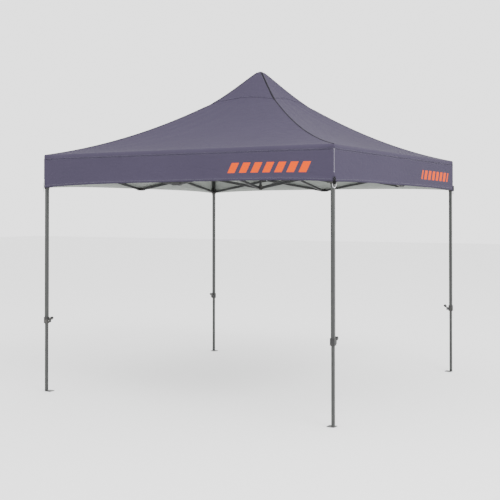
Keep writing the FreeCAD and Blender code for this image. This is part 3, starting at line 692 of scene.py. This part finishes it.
@dataclass
class Roof:
    """Four-sided hollow roof of cloth, with its peak patch, hip seams and eave piping."""

    rows: int = 56
    columns: int = 69
    sag: float = 0.018
    ripple: float = 0.0016
    patch: float = 0.345
    patch_arch: float = 0.17
    patch_lift: float = 0.0022
    hip_tape: float = 0.0055
    piping: float = 0.0012
    stitches: StitchRows = field(default_factory=StitchRows)

    def point(self, reach: float, slide: float, lift: float = 0.0) -> Vector:
        """Point of side 0's roof panel.

        Args:
            reach: half width of the roof's square section there.
            slide: place along that section, -1 to 1 from hip to hip.
            lift: height over the cloth.

        Returns:
            The point, in side 0's frame.
        """
        share = 1 - reach / SIZE.half
        belly = 4 * share * (1 - share) * (1 - slide * slide)
        corner = (1 - abs(slide)) * SIZE.half
        pull = math.exp(-((1 - share) * corner / 0.55) ** 2) * (1 - abs(slide)) * 6
        wave = noise.noise(Vector((reach * 1.8, slide * reach * 1.1, 3.7)))
        fan = math.sin(26 * math.atan2(share + 0.02, 1.02 - abs(slide)))
        height = SIZE.hip_height(reach) - self.sag * belly + self.ripple * belly * wave * 2.2
        height += self.ripple * 0.45 * fan * pull * share * (1 - share) * 4
        return section(reach, slide)[0] + Vector((0, 0, height + lift))

    def edge(self, slide: float, turn: float) -> Vector:
        """Point round the eave's edge, where the cloth's normal is turned up by turn."""
        roll = SIZE.roll_at(slide)
        foot = SIZE.hip_height(SIZE.half - roll * (1 - math.cos(SIZE.roll_turn)))
        height = foot + roll * (math.sin(turn) - math.sin(SIZE.roll_turn))
        return section(SIZE.half - roll * (1 - math.cos(turn)), slide)[0] + Vector((0, 0, height))

    def slope(self, slide: float, share: float) -> Vector:
        """Point of the roof a share of the way from the eave's edge to the tip."""
        start = SIZE.half - SIZE.roll_at(slide) * (1 - math.cos(SIZE.roll_turn)) - 0.003
        return self.point(start * (1 - share), slide)

    def panel_set(self, name: str, rows: Sequence[Callable[[float], Vector]],
                  columns: int) -> bpy.types.Object:
        """Four panels as one sheet; each row gives a point of side 0 from a slide."""
        verts, faces, uvs = [], [], []
        places = slides(columns)
        for index in range(4):
            first = len(verts)
            for row in rows:
                for slide in places:
                    local = row(slide)
                    verts.append(quarter(index) @ local)
                    uvs.append((local.y + index * 4.0, math.hypot(SIZE.half - local.x, local.z - SIZE.eave)))
            faces += grid_faces(len(rows), len(places), first)
        item = mesh_object(name, verts, faces, uvs)
        merge(item)
        return item

    def cloth(self) -> bpy.types.Object:
        """The roof itself, one continuous sheet with a silver lining."""
        rows = [lambda slide: section(SIZE.half, slide)[0] + Vector((0, 0, SIZE.seam))]
        rows += [lambda slide, turn=SIZE.roll_turn * step / 6: self.edge(slide, turn) for step in range(7)]
        rows += [lambda slide, share=(step / (self.rows - 1)) ** 0.9: self.slope(slide, share)
                 for step in range(self.rows)]
        item = self.panel_set("roof_cloth", rows, self.columns)
        dress(item, "roof", "lining")
        thicken(item, SIZE.skin, lining=True)
        slant = sum((one(0.0) - two(0.0)).length for one, two in zip(rows, rows[1:]))
        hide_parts("canopy")
        follow_legs(item)
        return item

    def hem(self, slide: float, gap: float = 0.0) -> float:
        """Half width of the peak patch's hem, arched up between the hips, less a gap."""
        return self.patch * (1 - self.patch_arch * (1 - slide * slide)) - gap

    def peak_patch(self) -> bpy.types.Object:
        """Second layer of cloth over the peak."""
        shares = [(step / 23) ** 0.9 for step in range(24)]
        rows = [lambda slide, share=share: self.point(self.hem(slide) * (1 - share), slide, self.patch_lift)
                for share in shares]
        item = self.panel_set("peak_patch", rows, 41)
        dress(item, "roof", "roof")
        thicken(item, SIZE.skin)
        follow_legs(item)
        slant = sum((one(0.0) - two(0.0)).length for one, two in zip(rows, rows[1:]))
        4 * slant * self.hem(0.6)
        return item

    def hip_seam(self, index: int) -> bpy.types.Object:
        """Folded seam tape along one hip, wider over the peak patch; its near-black colour is partly the
        tape and partly painted shade along the hip ridge.
        """
        steps = 90
        line, profiles = [], []
        for step in range(steps):
            reach = (SIZE.half - 0.004) * (1 - step / (steps - 1)) + 0.03 * step / (steps - 1)
            over_patch = reach < self.patch
            lift = self.patch_lift if over_patch else 0.0
            wide = self.hip_tape * (1.7 if over_patch else 1.0)
            fall = wide * SIZE.slope(reach) / math.sqrt(2)
            top = 0.0026 - fall
            line.append(quarter(index) @ self.point(reach, 1.0, lift))
            profiles.append([(-wide, -fall), (0.0, -0.0004), (wide, -fall), (wide, top), (0.0, 0.0034),
                             (-wide, top)])
        across = quarter(index) @ Vector((-1, 1, 0)).normalized()
        up = Vector((0, 0, 1))
        item = ribbon(f"hip_seam_{LEGS[index]}", line, [across] * steps, [up] * steps, profiles)
        dress(item, "seam")
        follow_legs(item)
        return item

    def eave_piping(self) -> bpy.types.Object:
        """Thin round piping in the seam under the eave, all the way round."""
        line, across = [], []
        for index in range(4):
            for slide in slides(60)[:-1]:
                place, outward = section(SIZE.half, slide)
                line.append(quarter(index) @ (place + Vector((0, 0, SIZE.seam))))
                across.append(quarter(index) @ outward)
        up = [Vector((0, 0, 1))] * len(line)
        item = ribbon("eave_piping", line, across, up, [circle(self.piping)] * len(line), closed=True)
        dress(item, "valance")
        follow_legs(item)
        return item

    def thread(self) -> bpy.types.Object:
        """Stitch rows beside the hips, the patch's hem and the eave."""
        lines = []
        even = [STRAIGHT * (-1 + step / 60) for step in range(121)]
        for index in range(4):
            turn = quarter(index)
            for side in (-1, 1):
                lines.append([turn @ self.hip_row(step / 100, side) for step in range(99)])
            for gap in (0.004, 0.009):
                lines.append([turn @ self.point(self.hem(slide, gap), slide, self.patch_lift + 0.0004)
                              for slide in even])
                lines.append([turn @ (section(SIZE.half + 0.0004, slide)[0]
                                      + Vector((0, 0, SIZE.seam + gap))) for slide in even])
        item = self.stitches.lay("roof_stitching", lines)
        follow_legs(item)
        return item

    def hip_row(self, share: float, side: int) -> Vector:
        """Point of the stitch row beside one side of a hip's tape."""
        reach = (SIZE.half - 0.012) * (1 - share) + 0.04 * share
        over_patch = reach < self.patch
        gap = self.hip_tape * (1.7 if over_patch else 1.0) + 0.004
        lift = self.patch_lift if over_patch else 0.0
        return self.point(reach, side * (1 - gap / reach), lift + 0.0004)

    def build(self) -> None:
        """Make every piece of the roof."""
        report(self.cloth(), self.peak_patch(), self.eave_piping(), self.thread())
        report(*(self.hip_seam(index) for index in range(4)))


# ------------------------------------------------------------------ valance
@dataclass
class Valance:
    """Straight hanging border of the canopy, one strip per side, with hems and corner seams."""

    columns: int = 181
    rows: int = 15
    hem: float = 0.024
    hem_step: float = 0.0009
    ripple: float = 0.0065
    corner_lift: tuple[float, ...] = (0.0, 0.0, 0.0, 0.012)
    bow: tuple[float, ...] = (0.016, 0.030, 0.026, 0.030)
    cord: float = 0.0011
    bead: float = 0.0034
    cord_end: float = 0.088
    finishes: tuple[str, ...] = ("valance_right", "valance", "valance", "valance_front")
    stitches: StitchRows = field(default_factory=StitchRows)

    def bottom(self, index: int, slide: float) -> float:
        """Height of a strip's lower edge, drawn up between the corners."""
        start, end = self.corner_lift[index - 1], self.corner_lift[index]
        return SIZE.low + start + (end - start) * (1 + slide) / 2 + self.bow[index] * (1 - slide ** 4)

    def point(self, index: int, slide: float, level: float, lift: float = 0.0) -> Vector:
        """Point of a strip at a place along its side (-1 to 1), level metres over its lower edge."""
        place, outward = section(SIZE.half, slide)
        bottom = self.bottom(index, slide)
        height = bottom + level * (SIZE.seam - bottom) / (SIZE.seam - SIZE.low)
        depth = 1 - level / (SIZE.seam - SIZE.low)
        pinned = min(1.0, (SIZE.half - abs(place.y)) / 0.16)
        swell = noise.noise(Vector((place.y * 2.3, index * 7.1, 0.4))) * 0.6
        swell += noise.noise(Vector((place.y * 5.1, index * 3.3, 2.4))) * 0.28
        out = self.ripple * depth ** 1.4 * pinned * (0.75 + swell)
        out += self.hem_step if level < self.hem else 0.0
        return quarter(index) @ (place + outward * (max(out, 0.0) + lift) + Vector((0, 0, height)))

    def levels(self) -> list[float]:
        """Heights of the rows over the lower edge, with a close pair at the top of the hem."""
        tall = SIZE.seam - SIZE.low
        upper = [tall - (tall - self.hem - 0.001) * step / (self.rows - 3) for step in range(self.rows - 2)]
        return upper + [self.hem - 0.0005, 0.0]

    def strip(self, index: int) -> bpy.types.Object:
        """The cloth of one side."""
        verts, uvs = [], []
        levels, places = self.levels(), slides(self.columns)
        for level in levels:
            for slide in places:
                verts.append(self.point(index, slide, level))
                uvs.append((section(SIZE.half, slide)[0].y + SIZE.half, level))
        faces = [tuple(reversed(face)) for face in grid_faces(len(levels), len(places))]
        item = mesh_object(f"valance_{SIDES[index]}", verts, faces, uvs)
        dress(item, self.finishes[index], "lining")
        thicken(item, SIZE.skin, lining=True)
        follow_side(item, index)
        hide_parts("canopy")
        return item

    def thread(self, index: int) -> bpy.types.Object:
        """Stitch rows of one side: the hem and the seam under the eave."""
        lines = []
        for level in (self.hem - 0.003, self.hem - 0.006, SIZE.seam - SIZE.low - 0.006):
            lines.append([self.point(index, STRAIGHT * (-1 + step / 90), level, 0.0004)
                          for step in range(181)])
        item = self.stitches.lay(f"valance_stitching_{SIDES[index]}", lines)
        follow_side(item, index)
        return item

    def corner_cord(self, index: int) -> bpy.types.Object:
        """Pale cord sewn to the upper part of a corner, with a bead at each end."""
        place, outward = section(SIZE.half, 1.0)
        low, high, steps = SIZE.low + self.cord_end, SIZE.seam + 0.004, 60
        line, profiles = [], []
        for step in range(steps):
            share = step / (steps - 1)
            end = min(share, 1 - share) * (high - low) / self.bead
            thick = self.cord + (self.bead - self.cord) * max(math.sin(min(end / 2, 1.0) * math.pi), 0.0)
            line.append(quarter(index) @ (place + outward * 0.0012
                                          + Vector((0, 0, low + (high - low) * share))))
            profiles.append(circle(thick))
        side = quarter(index) @ outward.cross(Vector((0, 0, 1)))
        item = ribbon(f"corner_cord_{LEGS[index]}", line, [side] * steps, [quarter(index) @ outward] * steps,
                      profiles)
        dress(item, "cord")
        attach(item, f"leg_{LEGS[index]}")
        return item

    def build(self) -> None:
        """Make every piece of the valance."""
        for index in range(4):
            report(self.strip(index), self.thread(index), self.corner_cord(index))


# ------------------------------------------------------------------ corner trim
@dataclass
class CornerTrim:
    """Webbing loop and steel ring under each corner of the valance, square to its diagonal."""

    thickness: float = 0.0016
    wire: float = 0.0021
    ring_half: float = 0.0155
    fold: float = 0.0024
    width: float = 0.0125
    height: float = 0.056
    under: float = 0.0006
    stitches: StitchRows = field(default_factory=lambda: StitchRows(0.0042, 0.003, 0.0004))

    def place(self, index: int) -> Matrix:
        """Frame of a corner's tab: X outwards, Y across the webbing, Z up from its lower edge."""
        turn = quarter(index) @ Matrix.Rotation(math.pi / 4, 4, "Z")
        inside = turn.inverted()
        points = [inside @ vertex.co for vertex in frame["nodes"]["corner_tabs"].data.vertices]
        mine = [point for point in points if point.x > SIZE.half]
        out = max(point.x for point in mine)
        return turn @ Matrix.Translation((out + self.thickness / 2, 0, min(point.z for point in mine)))

    def path(self) -> list[tuple[float, float]]:
        """Out and up of the webbing: down the outer face, round the ring's bar and a little up again."""
        steps = 16
        outer = [(0.0, self.height * (1 - step / steps)) for step in range(steps)]
        fold = [(-self.fold * (1 - math.cos(turn)), -self.fold * math.sin(turn))
                for turn in (math.pi * step / 8 for step in range(9))]
        inner = [(-2 * self.fold, self.under * step / 4) for step in range(1, 5)]
        return outer + fold + inner

    def tab(self, index: int) -> bpy.types.Object:
        """Webbing sewn to the valance's corner and folded round the ring's straight bar."""
        to_frame = self.place(index)
        path = self.path()
        across = to_frame.to_3x3() @ Vector((0, 1, 0))
        line = [to_frame @ Vector((out, 0, up)) for out, up in path]
        outs = [across.cross(line[min(step + 1, len(line) - 1)] - line[max(step - 1, 0)]).normalized()
                for step in range(len(line))]
        half, thick = self.width, self.thickness / 2
        profile = [(-half, -thick), (half, -thick), (half, thick), (-half, thick)]
        item = ribbon(f"corner_tab_{LEGS[index]}", line, [across] * len(line), outs, [profile] * len(line))
        dress(item, "webbing")
        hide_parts("corner_tabs")
        return item

    def ring(self, index: int) -> bpy.types.Object:
        """D-shaped steel ring whose straight bar lies in the webbing's fold."""
        to_frame = self.place(index)
        half = self.ring_half
        outline = [(half * (-1 + step / 4), 0.0) for step in range(9)]
        outline += [(half * math.cos(turn), -0.003 - half * 1.75 * math.sin(turn))
                    for turn in (math.pi * step / 20 for step in range(21))]
        line = [to_frame @ Vector((-self.fold, side, drop)) for side, drop in outline]
        outward = to_frame.to_3x3() @ Vector((1, 0, 0))
        sides = [outward.cross(line[(step + 1) % len(line)] - line[step - 1]).normalized()
                 for step in range(len(line))]
        item = ribbon(f"corner_ring_{LEGS[index]}", line, sides, [outward] * len(line),
                      [circle(self.wire)] * len(line), closed=True)
        dress(item, "ring")
        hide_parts("corner_rings")
        return item

    def thread(self, index: int) -> bpy.types.Object:
        """Box and cross of stitches that hold the webbing to the valance."""
        to_frame = self.place(index)
        half, low, high = self.width - 0.0025, 0.026, self.height - 0.004
        corners = [(-half, low), (half, low), (half, high), (-half, high), (-half, low)]
        rows = [corners, [(-half, low), (half, high)], [(half, low), (-half, high)]]
        lines = [[to_frame @ Vector((self.thickness / 2 + 0.0002, side, up)) for side, up in row]
                 for row in rows]
        item = self.stitches.lay(f"corner_stitching_{LEGS[index]}", lines)
        return item

    def build(self) -> None:
        """Make the trim of every corner."""
        for index, leg in enumerate(LEGS):
            pieces = (self.tab(index), self.ring(index), self.thread(index))
            for item in pieces:
                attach(item, f"leg_{leg}")
            report(*pieces)


# ------------------------------------------------------------------ frame finishes
class FrameFinishes:
    """Finishes of the CAD pieces: paint or nylon, with plated rivets picked out face by face."""

    main = {"outer_leg": "leg", "lower_leg": "leg", "leg_fittings": "nylon", "slider": "nylon",
            "lock_lever": "lever", "upper_hub_bar": "truss", "lower_hub_bar": "truss",
            "rising_bar": "truss", "falling_bar": "truss", "lower_mid_bracket": "nylon",
            "upper_mid_bracket": "nylon", "upper_hub": "nylon", "lower_hub": "nylon",
            "peak_pole": "truss", "pole_cap": "nylon"}
    rivet_size = 0.045
    plate_height = 0.006

    def finish_of(self, node: str) -> str:
        """Main finish of a CAD node."""
        starts = [start for start in self.main if node.startswith(start)]
        return self.main[max(starts, key=len)]

    def paint(self, node: str) -> None:
        """Give a CAD node its finishes."""
        item = frame["nodes"][node]
        second = "foot" if node.startswith("lower_leg") else "zinc"
        dress(item, self.finish_of(node), second)
        for faces, extent in self.islands(item.data):
            small = extent.z < self.plate_height if second == "foot" else max(extent) < self.rivet_size
            small = small and not node.startswith(("lock_lever", "pole_cap"))
            for number in faces:
                item.data.polygons[number].material_index = 1 if small else 0

    def islands(self, mesh: bpy.types.Mesh) -> list[tuple[list[int], Vector]]:
        """Face numbers and size of each separate solid of a mesh."""
        owner: dict[tuple[int, int, int], int] = {}
        parent: list[int] = []

        def root(number: int) -> int:
            """Leader of a set of faces."""
            while parent[number] != number:
                parent[number] = parent[parent[number]]
                number = parent[number]
            return number

        for polygon in mesh.polygons:
            parent.append(polygon.index)
            for vertex in polygon.vertices:
                key = tuple(round(value * 20000) for value in mesh.vertices[vertex].co)
                other = owner.setdefault(key, polygon.index)
                parent[root(polygon.index)] = root(other)
        found: dict[int, list[int]] = {}
        for number in range(len(parent)):
            found.setdefault(root(number), []).append(number)
        result = []
        for faces in found.values():
            points = [mesh.vertices[vertex].co for number in faces
                      for vertex in mesh.polygons[number].vertices]
            low = Vector(min(point[axis] for point in points) for axis in range(3))
            high = Vector(max(point[axis] for point in points) for axis in range(3))
            result.append((faces, high - low))
        return result

    def build(self) -> None:
        """Paint every CAD node that stays in view."""
        hidden = ("canopy", "corner_tabs", "corner_rings")
        for node in frame["nodes"]:
            if node not in hidden:
                self.paint(node)
        LOG.info("painted %d frame pieces", len(frame["nodes"]) - len(hidden))


# ------------------------------------------------------------------ studio
@dataclass
class Studio:
    """Pale floor, soft lights and the camera."""

    eye: tuple[float, float, float] = (4.534, -8.100, 1.680)
    yaw: float = 0.5216
    pitch: float = 0.0122
    lens: float = 67.15
    shift: float = -0.10

    def floor(self) -> None:
        """Wide pale floor."""
        size = 40.0
        corners = [Vector((-size, -size, -0.0005)), Vector((size, -size, -0.0005)),
                   Vector((size, size, -0.0005)), Vector((-size, size, -0.0005))]
        item = mesh_object("floor", corners, [(0, 1, 2, 3)], smooth=False)
        material = Surface("pale floor", (0.86, 0.86, 0.86, 1.0), 0.9).start()[0]
        item.data.materials.append(material)

    def light(self, name: str, place: tuple[float, float, float], size: float, power: float) -> None:
        """Square soft light aimed at the canopy."""
        data = bpy.data.lights.new(name, "AREA")
        data.size = size
        data.energy = power
        item = bpy.data.objects.new(name, data)
        item.location = place
        item.rotation_euler = (Vector((0, 0, 1.4)) - Vector(place)).to_track_quat("-Z", "Y").to_euler()
        bpy.context.scene.collection.objects.link(item)

    def camera(self) -> None:
        """Camera of the main view."""
        data = bpy.data.cameras.new("main_camera")
        data.lens = self.lens
        data.sensor_width = 36.0
        data.clip_end = 200.0
        data.shift_y = self.shift
        item = bpy.data.objects.new("main_camera", data)
        item.location = self.eye
        item.rotation_euler = (math.pi / 2 + self.pitch, 0.0, self.yaw)
        bpy.context.scene.collection.objects.link(item)
        bpy.context.scene.camera = item

    def world(self) -> None:
        """Even pale surroundings."""
        world = bpy.data.worlds.new("studio")
        world.use_nodes = True
        background = world.node_tree.nodes["Background"]
        background.inputs["Color"].default_value = (1.0, 1.0, 1.0, 1.0)
        background.inputs["Strength"].default_value = 2.4
        bpy.context.scene.world = world

    def build(self) -> None:
        """Set the stage."""
        self.floor()
        self.world()
        self.light("key", (8.0, -4.0, 9.0), 5.0, 1150.0)
        self.light("fill", (-8.0, -6.0, 5.0), 6.0, 150.0)
        self.camera()


def report(*items: bpy.types.Object) -> None:
    """Log each finished piece."""
    for item in items:
        LOG.info("%s: %d faces", item.name, len(item.data.polygons))


def main() -> None:
    """Build the studio and every piece."""
    logging.basicConfig(level=logging.INFO, format="%(message)s")
    Studio().build()
    Roof().build()
    Valance().build()
    CornerTrim().build()
    FrameFinishes().build()
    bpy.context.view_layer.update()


if __name__ == "__main__":
    main()
